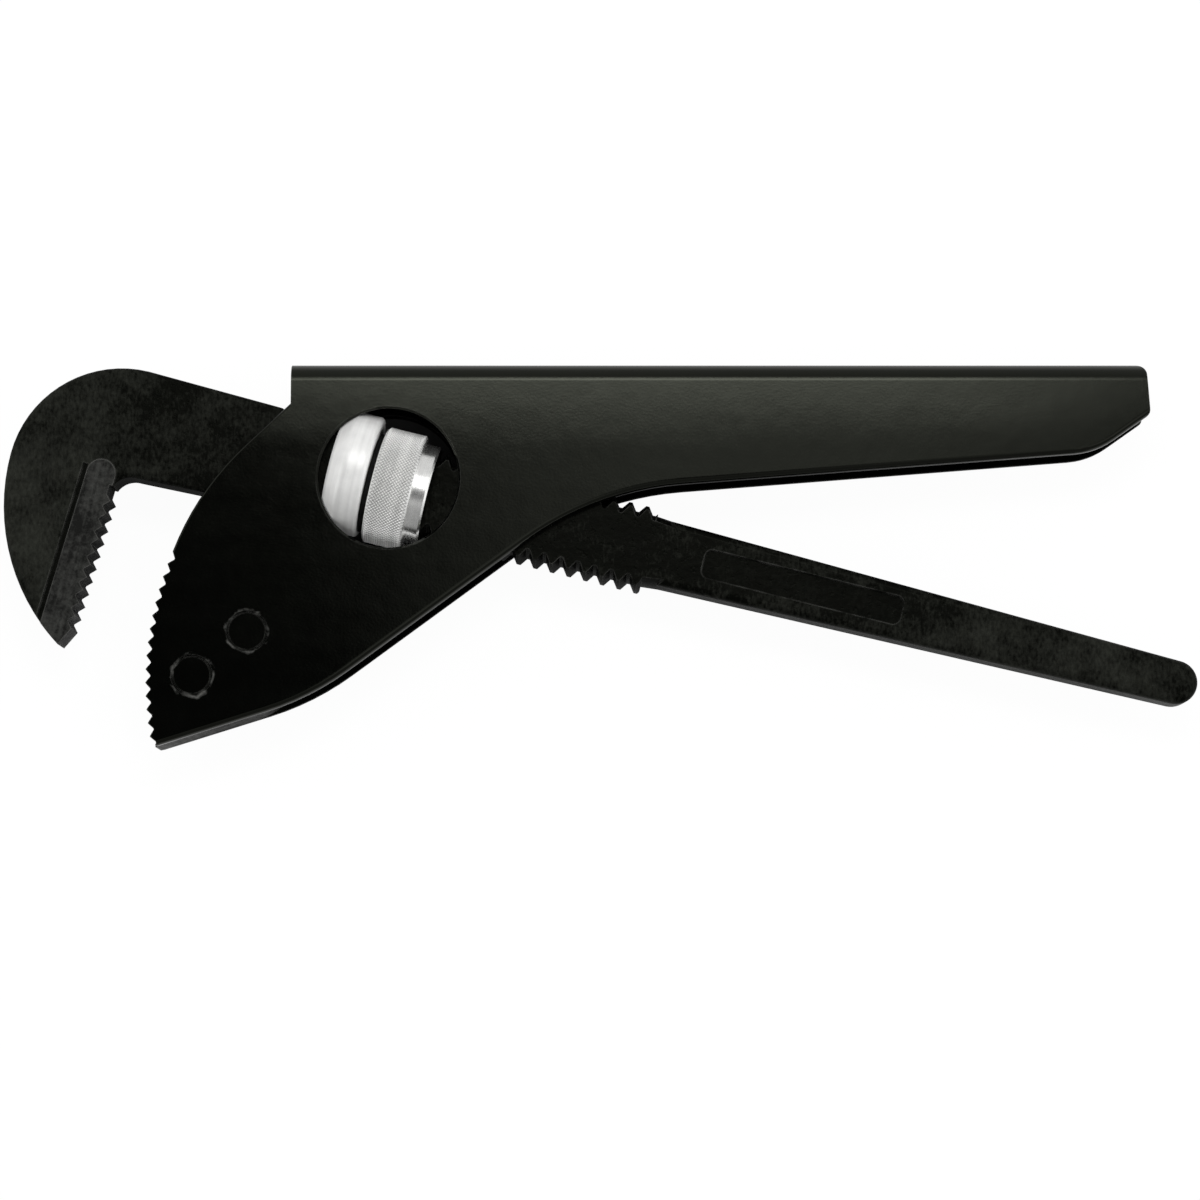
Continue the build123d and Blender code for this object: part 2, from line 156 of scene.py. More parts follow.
class WrenchFinish(bpy.types.PropertyGroup):
    """Colours and finishes of the wrench."""

    paint_colour: FloatVectorProperty(
        name="Paint colour",
        description="Colour of the black finish on the pressed body",
        subtype="COLOR",
        size=4,
        min=0,
        max=1,
        default=(0.0010, 0.0011, 0.0009, 1),
    )
    gloss_tint: FloatVectorProperty(
        name="Gloss tint",
        description="Tint of what the black finishes mirror",
        subtype="COLOR",
        size=4,
        min=0,
        max=1,
        default=(0.95, 1.0, 0.82, 1),
    )
    paint_roughness: FloatProperty(
        name="Paint roughness",
        description="Mean roughness of the black finish, away from the fold of the spine",
        subtype="FACTOR",
        min=0,
        max=1,
        default=0.12,
    )
    forging_colour: FloatVectorProperty(
        name="Forging colour",
        description="Darkest colour of the blackened forging",
        subtype="COLOR",
        size=4,
        min=0,
        max=1,
        default=(0.0013, 0.00135, 0.0011, 1),
    )
    scale_colour: FloatVectorProperty(
        name="Scale colour",
        description="Colour of the lighter patches on the forging",
        subtype="COLOR",
        size=4,
        min=0,
        max=1,
        default=(0.028, 0.0295, 0.0245, 1),
    )
    steel_colour: FloatVectorProperty(
        name="Tooth steel colour",
        description="Colour of the blackened tool steel of the strip and the heel block",
        subtype="COLOR",
        size=4,
        min=0,
        max=1,
        default=(0.034, 0.0345, 0.032, 1),
    )
    worn_colour: FloatVectorProperty(
        name="Worn edge colour",
        description="Colour of the steel where an edge has lost its black",
        subtype="COLOR",
        size=4,
        min=0,
        max=1,
        default=(0.13, 0.13, 0.122, 1),
    )
    plating_colour: FloatVectorProperty(
        name="Plating colour",
        description="Colour of the bright plating on the nut and the collar",
        subtype="COLOR",
        size=4,
        min=0,
        max=1,
        default=(0.93, 0.93, 0.915, 1),
    )
    plating_roughness: FloatProperty(
        name="Plating roughness",
        description="Mean roughness of the bright plating on the knurl and the collar",
        subtype="FACTOR",
        min=0,
        max=1,
        default=0.42,
    )
    hub_roughness: FloatProperty(
        name="Hub roughness",
        description="Mean roughness of the bright plating on the smooth hub behind the knurl",
        subtype="FACTOR",
        min=0,
        max=1,
        default=0.26,
    )


class WrenchNut(bpy.types.PropertyGroup):
    """Sizes of the knurled nut."""

    knurl_columns: IntProperty(
        name="Knurl columns",
        description="Half diamonds round the nut, an even number",
        min=40,
        max=400,
        default=200,
    )
    knurl_rows: IntProperty(
        name="Knurl rows",
        description="Half diamonds along the nut",
        min=4,
        max=60,
        default=19,
    )
    knurl_depth: FloatProperty(
        name="Knurl depth",
        description="Height of a diamond of the knurl",
        subtype="DISTANCE",
        unit="LENGTH",
        min=0,
        default=0.42 * MM,
    )
    knurl_land: FloatProperty(
        name="Knurl land",
        description="Half width of the flat left on top of each diamond",
        subtype="DISTANCE",
        unit="LENGTH",
        min=0,
        default=0.07 * MM,
    )


class WrenchStudio(bpy.types.PropertyGroup):
    """Camera, lamp, sky and floor."""

    camera_distance: FloatProperty(
        name="Camera distance",
        description="Distance of the camera from the cheek of the wrench",
        subtype="DISTANCE",
        unit="LENGTH",
        default=0.9,
    )
    camera_lean: FloatProperty(
        name="Camera lean",
        description="How far the camera leans from straight above, to the open side of the grip",
        subtype="ANGLE",
        unit="ROTATION",
        default=math.radians(6.5),
    )
    view_width: FloatProperty(
        name="View width",
        description="Width of the picture at the height of the cheek",
        subtype="DISTANCE",
        unit="LENGTH",
        default=0.3012,
    )
    view_centre: FloatVectorProperty(
        name="View centre",
        description="Point at the middle of the picture",
        subtype="XYZ",
        unit="LENGTH",
        size=3,
        default=(0.0533, -0.0308, 0.0070),
    )
    key_power: FloatProperty(
        name="Key lamp power",
        description="Power of the soft lamp above the spine",
        unit="POWER",
        default=1.75,
    )
    sky_strength: FloatProperty(
        name="Sky strength",
        description="Strength of the even light from all sides",
        default=1.36,
    )
    zenith_strength: FloatProperty(
        name="Zenith strength",
        description="Share of the even light that comes from straight above the grip",
        subtype="FACTOR",
        min=0,
        max=1,
        default=0.61,
    )
    spine_side_strength: FloatProperty(
        name="Spine side strength",
        description="Share of the even light that comes from beyond the spine",
        subtype="FACTOR",
        min=0,
        max=1,
        default=0.5,
    )
    front_strength: FloatProperty(
        name="Front strength",
        description="Share of the even light that comes from the open side of the grip",
        subtype="FACTOR",
        min=0,
        max=1,
        default=0.22,
    )
    # Reach of the painted shade on the floor near the tool, in what the tool mirrors
    painted_shade_reach: FloatProperty(
        name="Floor reach",
        description="How far from the tool the floor is dimmed in what the tool mirrors",
        subtype="DISTANCE",
        unit="LENGTH",
        min=0,
        default=0.04,
    )


# Node helpers


def set_inputs(node, **values):
    """Sets inputs of a node, named with underscores for spaces, to constant values."""
    for name, value in values.items():
        node.inputs[name.replace("_", " ")].default_value = value


def link_inputs(tree, node, **sockets):
    """Links sockets to inputs of a node, named with underscores for spaces."""
    for name, socket in sockets.items():
        tree.links.new(socket, node.inputs[name.replace("_", " ")])


def add_node(tree, kind, **values):
    """Adds a shader node and sets some of its inputs."""
    node = tree.nodes.new(kind)
    set_inputs(node, **values)
    return node


def start_material(name, **values):
    """New material, with some of its shader's inputs set, and the object's coordinates."""
    material = bpy.data.materials.new(name)
    material.use_nodes = True
    tree = material.node_tree
    shader = tree.nodes["Principled BSDF"]
    set_inputs(shader, **values)
    coordinates = add_node(tree, "ShaderNodeTexCoord").outputs["Object"]
    return material, tree, shader, coordinates


def noise(tree, coordinates, scale=1.0, detail=3.0, roughness=0.5):
    """Noise of a scale in features per metre."""
    node = add_node(tree, "ShaderNodeTexNoise", Scale=scale, Detail=detail, Roughness=roughness)
    link_inputs(tree, node, Vector=coordinates)
    return node.outputs["Fac"]


def mapped(tree, vector, **values):
    """A vector after a Mapping node."""
    node = add_node(tree, "ShaderNodeMapping", **values)
    link_inputs(tree, node, Vector=vector)
    return node.outputs["Vector"]


def split(tree, vector):
    """The X, Y and Z of a vector."""
    node = tree.nodes.new("ShaderNodeSeparateXYZ")
    link_inputs(tree, node, Vector=vector)
    return node.outputs


def remap(tree, value, source, target=(0, 1)):
    """Maps a value from one range to another, clamped."""
    node = add_node(
        tree,
        "ShaderNodeMapRange",
        From_Min=source[0],
        From_Max=source[1],
        To_Min=target[0],
        To_Max=target[1],
    )
    link_inputs(tree, node, Value=value)
    return node.outputs["Result"]


def combine(tree, kind, operation, *values):
    """A number from a Math or Vector Math node, from sockets or constants."""
    node = tree.nodes.new(kind)
    node.operation = operation
    for socket, value in zip(node.inputs, values):
        if isinstance(value, bpy.types.NodeSocket):
            tree.links.new(value, socket)
        else:
            socket.default_value = value
    return node.outputs["Value"]


def calculate(tree, operation, *values):
    """Result of an operation on numbers."""
    return combine(tree, "ShaderNodeMath", operation, *values)


def measure(tree, operation, *vectors):
    """Number that an operation on vectors gives."""
    return combine(tree, "ShaderNodeVectorMath", operation, *vectors)


def weighted_sum(tree, *parts):
    """Sum of pairs of a value and its weight."""
    total = None
    for value, weight in parts:
        part = value if weight == 1 else calculate(tree, "MULTIPLY", value, weight)
        total = part if total is None else calculate(tree, "ADD", total, part)
    return total


def product(tree, first, *others):
    """Product of values."""
    for other in others:
        first = calculate(tree, "MULTIPLY", first, other)
    return first


def shade(colour, factor):
    """A darker or lighter shade of a colour."""
    return tuple(Vector(colour) * factor)


def mix_colours(tree, factor, first, second):
    """Mixes two colours, each a socket or a value."""
    node = tree.nodes.new("ShaderNodeMix")
    node.data_type = "RGBA"
    tree.links.new(factor, node.inputs["Factor"])
    colour_inputs = [socket for socket in node.inputs if socket.type == "RGBA"]
    for socket, value in zip(colour_inputs, (first, second)):
        if isinstance(value, bpy.types.NodeSocket):
            tree.links.new(value, socket)
        else:
            socket.default_value = value
    return next(socket for socket in node.outputs if socket.type == "RGBA")


def rounded_normal(tree, radius, samples):
    """The surface's normal, over edges rounded by a radius."""
    node = add_node(tree, "ShaderNodeBevel", Radius=radius)
    node.samples = samples
    return node.outputs["Normal"]


def worn_edges(tree, coordinates, radius, turn, scale, patches, least):
    """1 on bare edges and 0 on open faces, from how far the rounded normal turns from the real one.

    The turn is a range of 1 less the cosine between the two. Noise of a scale wears the edges in
    patches: over the range of patches, the wear grows from the least share to all of it.
    """
    rounded = rounded_normal(tree, radius, samples=6)
    real = tree.nodes.new("ShaderNodeNewGeometry").outputs["Normal"]
    cosine = measure(tree, "DOT_PRODUCT", rounded, real)
    edges = remap(tree, cosine, (1 - turn[0], 1 - turn[1]))
    patchy = noise(tree, coordinates, scale, detail=5, roughness=0.65)
    return product(tree, edges, remap(tree, patchy, patches, (least, 1)))


def add_bump(tree, shader, height, distance, rounding=0.0):
    """Sends a height to the shader's normal, over edges rounded by a radius."""
    bump = add_node(tree, "ShaderNodeBump", Distance=distance)
    if rounding:
        link_inputs(tree, bump, Normal=rounded_normal(tree, rounding, samples=8))
    link_inputs(tree, bump, Height=height)
    link_inputs(tree, shader, Normal=bump.outputs["Normal"])


def recess_mask(tree, coordinates, face_height, depth):
    """1 on flat floors sunk into the two side faces by about a depth, and 0 elsewhere."""
    level = calculate(tree, "ABSOLUTE", split(tree, coordinates)["Z"])
    sunk = remap(tree, level, (face_height - 0.4 * depth, face_height - 0.8 * depth))
    shallow = remap(tree, level, (face_height - 2.0 * depth, face_height - 1.4 * depth))
    normal = tree.nodes.new("ShaderNodeTexCoord").outputs["Normal"]
    facing = calculate(tree, "ABSOLUTE", split(tree, normal)["Z"])
    return product(tree, sunk, shallow, remap(tree, facing, (0.8, 0.95)))


def ring_marks(tree, coordinates):
    """Broken, wavy rings on the cheeks, where the rivets were hammered over."""
    flat = mapped(tree, coordinates, Scale=(1, 1, 0))
    wander = noise(tree, coordinates, scale=330, detail=2)
    wobble = remap(tree, wander, (0.3, 0.7), (-RIVET_WOBBLE, RIVET_WOBBLE))
    rings = []
    for name in ("heel_rivet_upper", "heel_rivet_lower"):
        low, high = (Vector(corner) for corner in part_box(name))
        centre = (low + high) / 2
        distance = measure(tree, "DISTANCE", flat, (centre.x, centre.y, 0))
        wavy = calculate(tree, "ADD", distance, wobble)
        offset = calculate(tree, "ABSOLUTE", calculate(tree, "SUBTRACT", wavy, RIVET_RADIUS))
        rings.append(remap(tree, offset, (0, RIVET_MARK), (1, 0)))
    broken = remap(tree, noise(tree, coordinates, scale=260), (0.46, 0.60))
    return product(tree, calculate(tree, "MAXIMUM", *rings), broken)


# Materials


def paint_material(finish):
    """Smooth black finish of the pressed body and of the rivet heads."""
    material, tree, shader, coordinates = start_material(
        "body_black",
        Specular_IOR_Level=0.25,
        Specular_Tint=tuple(finish.gloss_tint),
    )
    base = finish.paint_colour
    cloudy = remap(tree, noise(tree, coordinates, scale=45, detail=4), (0.3, 0.7))
    colour = mix_colours(tree, cloudy, shade(base, 0.75), shade(base, 1.35))
    edges = worn_edges(
        tree,
        coordinates,
        radius=0.6 * MM,
        turn=(0.02, 0.22),
        scale=240,
        patches=(0.38, 0.60),
        least=0.15,
    )
    marks = product(tree, ring_marks(tree, coordinates), 0.8)
    worn = calculate(tree, "MAXIMUM", product(tree, edges, 0.55), marks)
    colour = mix_colours(tree, worn, colour, tuple(finish.worn_colour))

    grain = noise(tree, coordinates, scale=320, detail=4, roughness=0.6)
    smears = noise(tree, mapped(tree, coordinates, Scale=(14, 120, 120)))
    dullness = (finish.paint_roughness - 0.06, finish.paint_roughness + 0.05)
    towards_fold = remap(tree, split(tree, coordinates)["Y"], FOLD_BAND, dullness)
    roughness = weighted_sum(tree, (grain, 0.05), (smears, 0.07), (towards_fold, 1))
    link_inputs(tree, shader, Base_Color=colour, Roughness=roughness)

    peel = noise(tree, coordinates, scale=1500, detail=2)
    waves = noise(tree, coordinates, scale=130, detail=2)
    add_bump(tree, shader, weighted_sum(tree, (peel, 0.3), (waves, 1)), 0.03 * MM)
    return material


def forging_material(finish):
    """Blackened, mottled skin of the forged hook, shank and handle, with painted light towards its
    ends and painted shade in its sunk floors.
    """
    material, tree, shader, coordinates = start_material(
        "forged_black",
        Specular_IOR_Level=0.035,
        Specular_Tint=tuple(finish.gloss_tint),
    )
    patches = noise(tree, coordinates, scale=95, detail=4, roughness=0.55)
    grain = mapped(tree, coordinates, Scale=(1300, 600, 900))
    streaks = noise(tree, grain, detail=5, roughness=0.6)
    speckle = noise(tree, coordinates, scale=620, detail=6, roughness=0.7)
    # Painted light: the forging's colour grows lighter towards the nose and towards the handle's
    # end
    place = split(tree, coordinates)["X"]
    painted_light_to_nose = remap(tree, place, NOSE_PAINTED_LIGHT, (-0.05, 0.11))
    painted_light_to_end = remap(tree, place, HANDLE_END_PAINTED_LIGHT, (-0.05, 0.07))
    lighter = calculate(tree, "MAXIMUM", painted_light_to_nose, painted_light_to_end)
    mottle_and_painted_shading = weighted_sum(tree, (patches, 0.40), (streaks, 0.35), (speckle, 0.25), (lighter, 1))
    # Painted shade: the sunk floors of the handle's panel and of the relief beside the strip lose
    # their lighter patches
    face_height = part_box("hook_insert")[1][2]
    painted_recess_shade = recess_mask(tree, coordinates, face_height, RECESS_DEPTH)
    outside_recess_shade = remap(tree, painted_recess_shade, (0, 1), (1, 0.2))
    mottle_and_painted_shading = product(tree, remap(tree, mottle_and_painted_shading, (0.48, 0.74)), outside_recess_shade)
    scaly = tuple(finish.scale_colour)
    colour = mix_colours(tree, mottle_and_painted_shading, tuple(finish.forging_colour), scaly)
    edges = worn_edges(
        tree,
        coordinates,
        radius=0.7 * MM,
        turn=(0.02, 0.24),
        scale=260,
        patches=(0.40, 0.62),
        least=0.1,
    )
    colour = mix_colours(tree, product(tree, edges, 0.5), colour, tuple(finish.worn_colour))
    roughness = remap(tree, mottle_and_painted_shading, (0, 1), (0.36, 0.46))
    link_inputs(tree, shader, Base_Color=colour, Roughness=roughness)

    skin = noise(tree, coordinates, scale=420, detail=6, roughness=0.6)
    dents = noise(tree, coordinates, scale=85)
    pits = remap(tree, noise(tree, coordinates, scale=650, detail=2), (0.60, 0.72), (0, -1))
    height = weighted_sum(tree, (skin, 0.45), (dents, 1), (pits, 0.25))
    add_bump(tree, shader, height, 0.22 * MM)
    return material


def tooth_steel_material(finish):
    """Blackened tool steel of the strip and of the heel block, bright where the teeth bite, with
    lighter edges that are partly wear and partly a painted highlight.
    """
    material, tree, shader, coordinates = start_material(
        "hardened_steel",
        Specular_IOR_Level=0.04,
    )
    turned = mapped(tree, coordinates, Rotation=(0, 0, shank_slope))
    lines = noise(tree, mapped(tree, turned, Scale=(900, 90, 90)))
    patches = noise(tree, coordinates, scale=140, detail=5)
    speckle = noise(tree, coordinates, scale=800, detail=5, roughness=0.65)
    cloudy = weighted_sum(tree, (lines, 0.25), (patches, 0.3), (speckle, 0.45))
    cloudy = remap(tree, cloudy, (0.42, 0.62))
    base = finish.steel_colour
    colour = mix_colours(tree, cloudy, shade(base, 0.3), shade(base, 1.5))
    # Lighter edges, partly wear and partly a painted highlight along the edges of the strip
    edges = worn_edges(
        tree,
        coordinates,
        radius=0.6 * MM,
        turn=(0.03, 0.28),
        scale=300,
        patches=(0.35, 0.60),
        least=0.35,
    )
    colour = mix_colours(tree, product(tree, edges, 0.9), colour, tuple(finish.worn_colour))
    link_inputs(
        tree,
        shader,
        Base_Color=colour,
        Roughness=remap(tree, cloudy, (0, 1), (0.50, 0.36)),
        Metallic=remap(tree, edges, (0, 1), (0.1, 0.7)),
    )
    grain = noise(tree, coordinates, scale=500, detail=4)
    add_bump(tree, shader, weighted_sum(tree, (lines, 1), (grain, 0.6)), 0.04 * MM)
    return material


def plating_material(finish, name, metallic, roughness, knurled=False, rounding=0.0):
    """Bright plating over fine turning lines, darker in the grooves where it is knurled."""
    material, tree, shader, coordinates = start_material(name, Metallic=metallic)
    turned = mapped(tree, coordinates, Rotation=(0, 0, shank_slope))
    fine = noise(tree, mapped(tree, turned, Scale=(2600, 40, 40)), detail=4, roughness=0.6)
    coarse = noise(tree, mapped(tree, turned, Scale=(520, 18, 18)), detail=2)
    haze = noise(tree, coordinates, scale=210, detail=5, roughness=0.6)
    tint = remap(tree, weighted_sum(tree, (haze, 0.4), (coarse, 0.6)), (0.38, 0.60))
    base = finish.plating_colour
    colour = mix_colours(tree, tint, shade(base, 0.82), tuple(base))
    if knurled:
        # The grooves of the knurl are painted darker
        groove = tree.nodes.new("ShaderNodeAttribute")
        groove.attribute_name = "groove"
        groove_darkening = remap(tree, groove.outputs["Fac"], (0.5, 1), (0, 0.6))
        colour = mix_colours(tree, groove_darkening, colour, shade(base, 0.2))
    uneven = weighted_sum(tree, (fine, 0.14), (haze, 0.12))
    uneven = calculate(tree, "ADD", uneven, roughness - 0.13)
    link_inputs(tree, shader, Base_Color=colour, Roughness=uneven)
    height = weighted_sum(tree, (fine, 1), (coarse, 1.5))
    add_bump(tree, shader, height, 0.012 * MM, rounding)
    return material


def oiled_and_shaded_material(finish):
    """Dark steel with oil on it inside the nut and on its thrust face, made darker as painted shade
    for the gap between the nut and the collar.
    """
    material, tree, shader, coordinates = start_material(
        "oiled_steel_and_painted_shade",
        Roughness=0.6,
        Specular_IOR_Level=0.05,
    )
    base = finish.steel_colour
    cloudy = remap(tree, noise(tree, coordinates, scale=300, detail=4), (0.3, 0.7))
    colour = mix_colours(tree, cloudy, shade(base, 0.1), shade(base, 0.3))
    link_inputs(tree, shader, Base_Color=colour)
    add_bump(tree, shader, noise(tree, coordinates, scale=900), 0.01 * MM)
    return material


def paint_node(name, material):
    """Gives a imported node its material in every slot."""
    piece = nodes[name]
    if not piece.data.materials:
        piece.data.materials.append(material)
    for slot in piece.material_slots:
        slot.material = material


# Pieces


class WRENCH_OT_body(bpy.types.Operator):
    """Finish the pressed body and its rivets in smooth black"""

    bl_idname = "wrench.body"
    bl_label = "Pressed Body"

    def execute(self, context):
        material = paint_material(context.scene.wrench_finish)
        for name in ("pressed_body", "heel_rivet_upper", "heel_rivet_lower"):
            paint_node(name, material)
        return {"FINISHED"}


class WRENCH_OT_hook(bpy.types.Operator):
    """Finish the forged hook, shank and handle"""

    bl_idname = "wrench.hook"
    bl_label = "Forged Hook Jaw"

    def execute(self, context):
        paint_node("hook_jaw", forging_material(context.scene.wrench_finish))
        return {"FINISHED"}


class WRENCH_OT_teeth(bpy.types.Operator):
    """Finish the toothed strip and the toothed heel block"""

    bl_idname = "wrench.teeth"
    bl_label = "Toothed Steel"

    def execute(self, context):
        material = tooth_steel_material(context.scene.wrench_finish)
        for name in ("hook_insert", "heel_jaw"):
            paint_node(name, material)
        return {"FINISHED"}


def knurl_band(bm, settings, radius, low, high):
    """Adds the knurled band of the nut round Z, and returns the edges of its two open ends."""
    groove = bm.verts.layers.float.new("groove")
    rows = settings.knurl_rows
    step = (high - low) / rows
    column = [bm.verts.new((radius, 0, low + step * row)) for row in range(rows + 1)]
    rails = [bm.edges.new(pair) for pair in zip(column, column[1:])]
    others = set(bm.verts) - set(column)
    bmesh.ops.spin(
        bm,
        geom=column + rails,
        cent=(0, 0, 0),
        axis=(0, 0, 1),
        angle=math.tau,
        steps=settings.knurl_columns,
        use_merge=True,
    )
    band = [vert for vert in bm.verts if vert not in others]
    valleys, peaks, ends = [], [], ([], [])
    for vert in band:
        turn = round(math.atan2(vert.co.y, vert.co.x) / math.tau * settings.knurl_columns)
        row = round((vert.co.z - low) / step)
        group = valleys if (turn + row) % 2 else peaks
        group.append(vert)
        if row in (0, rows):
            ends[row // rows].append(vert)
    for vert in valleys:
        vert[groove] = 1.0
    shrink = (radius - settings.knurl_depth) / radius
    bmesh.ops.scale(bm, vec=(shrink, shrink, 1), verts=valleys)
    for side, ring in zip((-1, 1), ends):
        low_points = [vert for vert in ring if vert in valleys]
        bmesh.ops.translate(bm, vec=(0, 0, side * settings.knurl_depth), verts=low_points)
    bmesh.ops.connect_verts(bm, verts=valleys)
    end_edges = []
    for ring in map(set, ends):
        in_ring = [edge for edge in bm.edges if ring.issuperset(edge.verts)]
        end_edges.append([edge for edge in in_ring if edge.is_boundary])
    inner_peaks = [vert for vert in peaks if not vert.is_boundary]
    bmesh.ops.bevel(
        bm,
        geom=inner_peaks,
        offset=settings.knurl_land,
        affect="VERTICES",
        segments=1,
        profile=0.5,
        material=-1,
    )
    return end_edges


def add_piece(bm, name, materials):
    """Moves a bmesh into a new object of the scene, with its materials."""
    mesh = bpy.data.meshes.new(name)
    bm.to_mesh(mesh)
    bm.free()
    for material in materials:
        mesh.materials.append(material)
    piece = bpy.data.objects.new(name, mesh)
    bpy.context.scene.collection.objects.link(piece)
    return piece


def finish_mesh(bm, name, materials):
    """Turns a bmesh into an object with smooth faces between its sharp edges."""
    bmesh.ops.recalc_face_normals(bm, faces=bm.faces)
    for face in bm.faces:
        face.smooth = True
    for edge in bm.edges:
        if edge.is_manifold and edge.calc_face_angle() > SHARP_ANGLE:
            edge.smooth = False
    return add_piece(bm, name, materials)


class WRENCH_OT_nut(bpy.types.Operator):
    """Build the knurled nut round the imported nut's tapped bore, and finish the collar"""

    bl_idname = "wrench.nut"
    bl_label = "Knurled Nut and Collar"

    def execute(self, context):
        settings = context.scene.wrench_nut
        finish = context.scene.wrench_finish
        collar_finish = plating_material(
            finish,
            "plated_steel",
            metallic=0.22,
            roughness=finish.plating_roughness,
            rounding=COLLAR_ROUNDING,
        )
        paint_node("thrust_collar", collar_finish)

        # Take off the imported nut's outer cylinder, and keep its bore and both its shoulders
        bm = bmesh.new()
        bm.from_mesh(nodes["thumb_nut"].data)
        bmesh.ops.transform(bm, matrix=nut_frame.inverted(), verts=bm.verts)
        bmesh.ops.remove_doubles(bm, verts=bm.verts, dist=SAME_POINT)
        reach = max(vert.co.xy.length for vert in bm.verts)
        on_knurl = {vert for vert in bm.verts if vert.co.xy.length > reach - ON_SURFACE}
        if not on_knurl:
            raise RuntimeError("The packed nut has no outer cylinder to knurl")
        low = min(vert.co.z for vert in on_knurl)
        high = max(vert.co.z for vert in on_knurl)
        shell = [face for face in bm.faces if on_knurl.intersection(face.verts)]
        bmesh.ops.delete(bm, geom=shell, context="FACES")
        rim_points = [vert for vert in bm.verts if vert.is_boundary]
        thrust_face = min(vert.co.z for vert in rim_points)
        inside = min(vert.co.xy.length for vert in rim_points) - BORE_MARGIN

        # Put the knurled band in its place, and close the rings at its ends
        middle = (low + high) / 2
        band_ends = knurl_band(bm, settings, reach, low, high)
        band_edges = {edge for end in band_ends for edge in end}
        rims = [edge for edge in bm.edges if edge.is_boundary and edge not in band_edges]
        for end, side in zip(band_ends, (-1, 1)):
            rim = [edge for edge in rims if (edge.verts[0].co.z - middle) * side > 0]
            bmesh.ops.bridge_loops(bm, edges=end + rim)

        # The knurl is the first material, bore and thrust face the second, dark steel partly
        # painted as shade, the hub the third
        for face in bm.faces:
            place = face.calc_center_median()
            in_bore = place.xy.length < inside - settings.knurl_depth
            if place.z < thrust_face - ON_SURFACE or in_bore:
                face.material_index = 1
            elif place.z > high + settings.knurl_depth:
                face.material_index = 2
        bmesh.ops.transform(bm, matrix=nut_frame, verts=bm.verts)
        knurl = plating_material(
            finish,
            "plated_knurl",
            metallic=0.3,
            roughness=finish.plating_roughness,
            knurled=True,
        )
        oiled_and_shaded = oiled_and_shaded_material(finish)
        hub = plating_material(
            finish,
            "plated_hub",
            metallic=0.95,
            roughness=finish.hub_roughness,
        )
        nut = finish_mesh(bm, "knurled_thumb_nut", (knurl, oiled_and_shaded, hub))
        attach(nut, "nut")
        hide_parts("thumb_nut")
        return {"FINISHED"}


# Studio


def floor_material(reach):
    """White floor, with a painted shadow below the window, and painted shade near the tool in what
    the tool mirrors.
    """
    material, tree, shader, coordinates = start_material(
        "studio_floor",
        Roughness=0.9,
        Specular_IOR_Level=0.0,
    )
    path = add_node(tree, "ShaderNodeLightPath").outputs
    seen = calculate(tree, "MAXIMUM", path["Is Camera Ray"], path["Is Glossy Ray"])
    seen = calculate(tree, "MAXIMUM", seen, path["Is Transmission Ray"])
    flat = mapped(tree, coordinates, Scale=(1, 1, 0))
    from_window = measure(tree, "LENGTH", flat)
    # Painted shadow: a dark disc on the floor below the window
    painted_window_shadow = remap(tree, from_window, WINDOW_SHADOW_FADE, (1, 0))
    openness = add_node(tree, "ShaderNodeAmbientOcclusion", Distance=reach)
    openness.samples = 12
    # Painted shade: the floor that glossy faces mirror is darkened where the tool closes it in
    painted_contact_shade = remap(tree, openness.outputs["AO"], (0.60, 0.92), (0.9, 0))
    dimmed = product(tree, painted_contact_shade, path["Is Glossy Ray"])
    painted_floor_shade = calculate(tree, "MAXIMUM", painted_window_shadow, dimmed)
    unshaded_floor_share = product(tree, calculate(tree, "SUBTRACT", 1.0, painted_floor_shade), FLOOR_GLOW)
    colour = mix_colours(tree, unshaded_floor_share, PAINTED_SHADOW_COLOUR, FLOOR_COLOUR)
    link_inputs(tree, shader, Base_Color=colour)
    glow = add_node(tree, "ShaderNodeEmission", Color=(1, 1, 1, 1), Strength=1.03)
    blend = add_node(tree, "ShaderNodeMixShader")
    tree.links.new(product(tree, seen, unshaded_floor_share), blend.inputs["Fac"])
    tree.links.new(shader.outputs["BSDF"], blend.inputs[1])
    tree.links.new(glow.outputs["Emission"], blend.inputs[2])
    link_inputs(tree, tree.nodes["Material Output"], Surface=blend.outputs["Shader"])
    return material


def add_camera(scene, settings):
    """Adds the camera of the photograph, far away and leaning a little."""
    lens = bpy.data.cameras.new("photo_camera")
    lens.sensor_width = SENSOR_WIDTH
    lens.lens = SENSOR_WIDTH * settings.camera_distance / settings.view_width
    lens.clip_start, lens.clip_end = CLIP_DISTANCES
    camera = bpy.data.objects.new("photo_camera", lens)
    lean = settings.camera_lean
    aim = Vector((0, -math.sin(lean), math.cos(lean)))
    camera.location = Vector(settings.view_centre) + settings.camera_distance * aim
    camera.rotation_euler.x = lean
    scene.collection.objects.link(camera)
    scene.camera = camera


def add_floor(settings):
    """Adds one triangle of floor under the tool, with no inner edge to show in the white."""
    bm = bmesh.new()
    bmesh.ops.create_circle(bm, cap_ends=True, segments=3, radius=FLOOR_RADIUS)
    centre = settings.view_centre
    bmesh.ops.translate(bm, vec=(centre[0], centre[1], cad_low.z), verts=bm.verts)
    floor = add_piece(bm, "studio_floor", [floor_material(settings.painted_shade_reach)])


def add_key_lamp(scene, power):
    """Adds the soft lamp above the spine, which points straight down."""
    lamp = bpy.data.lights.new("key_lamp", "AREA")
    lamp.shape = "RECTANGLE"
    lamp.size, lamp.size_y = KEY_SIZE
    lamp.energy = power
    holder = bpy.data.objects.new("key_lamp", lamp)
    holder.location = KEY_PLACE
    scene.collection.objects.link(holder)


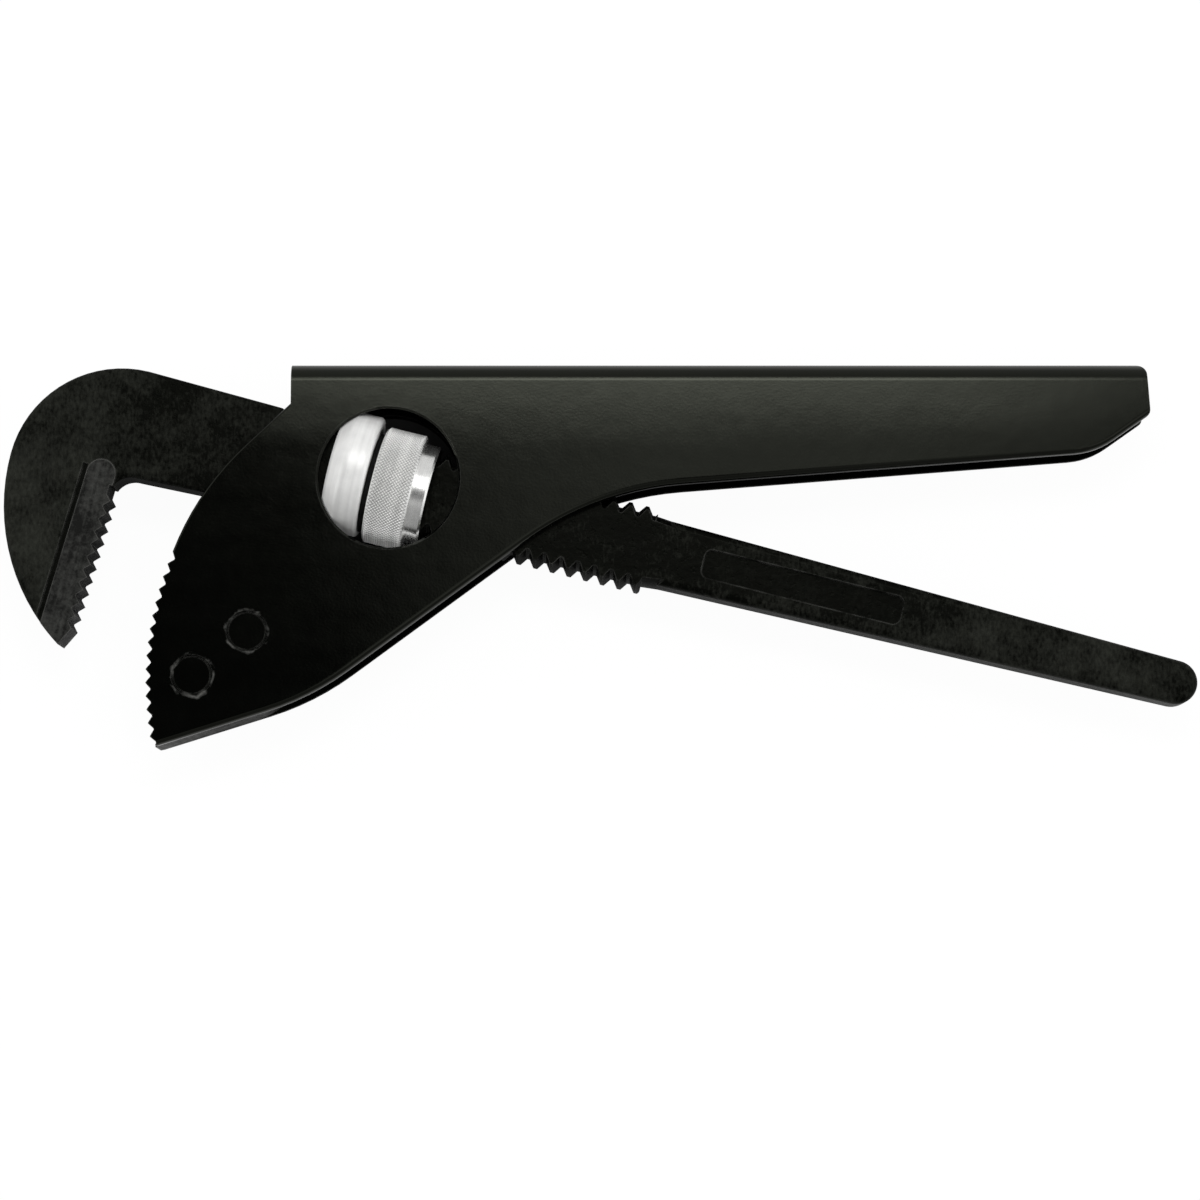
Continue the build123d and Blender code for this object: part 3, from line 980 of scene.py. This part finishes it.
def make_sky(settings):
    """Even white sky, with a dark cap where the flat cheeks mirror it and two dimmed sides."""
    world = bpy.data.worlds.new("studio_sky")
    world.use_nodes = True
    tree = world.node_tree
    sky = tree.nodes["Background"]
    set_inputs(sky, Color=(1, 1, 1, 1))
    direction = add_node(tree, "ShaderNodeTexCoord").outputs["Generated"]
    parts = split(tree, direction)
    lean = settings.camera_lean
    cap_middle = Vector((0, math.sin(lean), math.cos(lean)))
    in_cap = remap(tree, measure(tree, "DOT_PRODUCT", direction, cap_middle), CAP_EDGE)
    past_middle = calculate(tree, "SUBTRACT", parts["Y"], cap_middle.y)
    across_cap = weighted_sum(tree, (parts["X"], 1), (past_middle, CAP_SKEW))
    rise = remap(tree, across_cap, CAP_RISE, (0, settings.zenith_strength))
    fall = remap(tree, across_cap, CAP_FALL, (1, CAP_END_SHARE))
    missing = calculate(tree, "SUBTRACT", 1.0, product(tree, rise, fall))
    overhead = calculate(tree, "SUBTRACT", 1.0, product(tree, in_cap, missing))
    spine_side = remap(tree, parts["Y"], SPINE_SKY, (1, settings.spine_side_strength))
    front = remap(tree, parts["Y"], FRONT_SKY, (1, settings.front_strength))
    strength = product(tree, overhead, spine_side, front, settings.sky_strength)
    link_inputs(tree, sky, Strength=strength)
    return world


class WRENCH_OT_studio(bpy.types.Operator):
    """Set up the camera, the lamp, the sky and the floor"""

    bl_idname = "wrench.studio"
    bl_label = "Studio"

    def execute(self, context):
        scene = context.scene
        settings = scene.wrench_studio
        add_camera(scene, settings)
        add_floor(settings)
        add_key_lamp(scene, settings.key_power)
        scene.world = make_sky(settings)
        scene.view_settings.view_transform = "Standard"
        return {"FINISHED"}


class WRENCH_PT_panel(bpy.types.Panel):
    """Sidebar panel of the wrench"""

    bl_label = "Adjustable Pipe Wrench"
    bl_idname = "WRENCH_PT_panel"
    bl_space_type = "VIEW_3D"
    bl_region_type = "UI"
    bl_category = "Wrench"

    def draw(self, context):
        layout = self.layout
        for operator in OPERATORS:
            layout.operator(operator.bl_idname)
        scene = context.scene
        for group in (scene.wrench_finish, scene.wrench_nut, scene.wrench_studio):
            box = layout.box()
            for name in group.bl_rna.properties.keys():
                if name not in ("rna_type", "name"):
                    box.prop(group, name)


OPERATORS = (WRENCH_OT_studio, WRENCH_OT_body, WRENCH_OT_hook, WRENCH_OT_teeth, WRENCH_OT_nut)
CLASSES = (WrenchFinish, WrenchNut, WrenchStudio, *OPERATORS, WRENCH_PT_panel)


def register():
    for cls in CLASSES:
        bpy.utils.register_class(cls)
    bpy.types.Scene.wrench_finish = PointerProperty(type=WrenchFinish)
    bpy.types.Scene.wrench_nut = PointerProperty(type=WrenchNut)
    bpy.types.Scene.wrench_studio = PointerProperty(type=WrenchStudio)


def unregister():
    del bpy.types.Scene.wrench_studio
    del bpy.types.Scene.wrench_nut
    del bpy.types.Scene.wrench_finish
    for cls in reversed(CLASSES):
        bpy.utils.unregister_class(cls)


def main():
    """Builds the dressed wrench."""
    register()
    bpy.ops.wrench.studio()
    bpy.ops.wrench.body()
    bpy.ops.wrench.hook()
    bpy.ops.wrench.teeth()
    bpy.ops.wrench.nut()


if __name__ == "__main__":
    main()
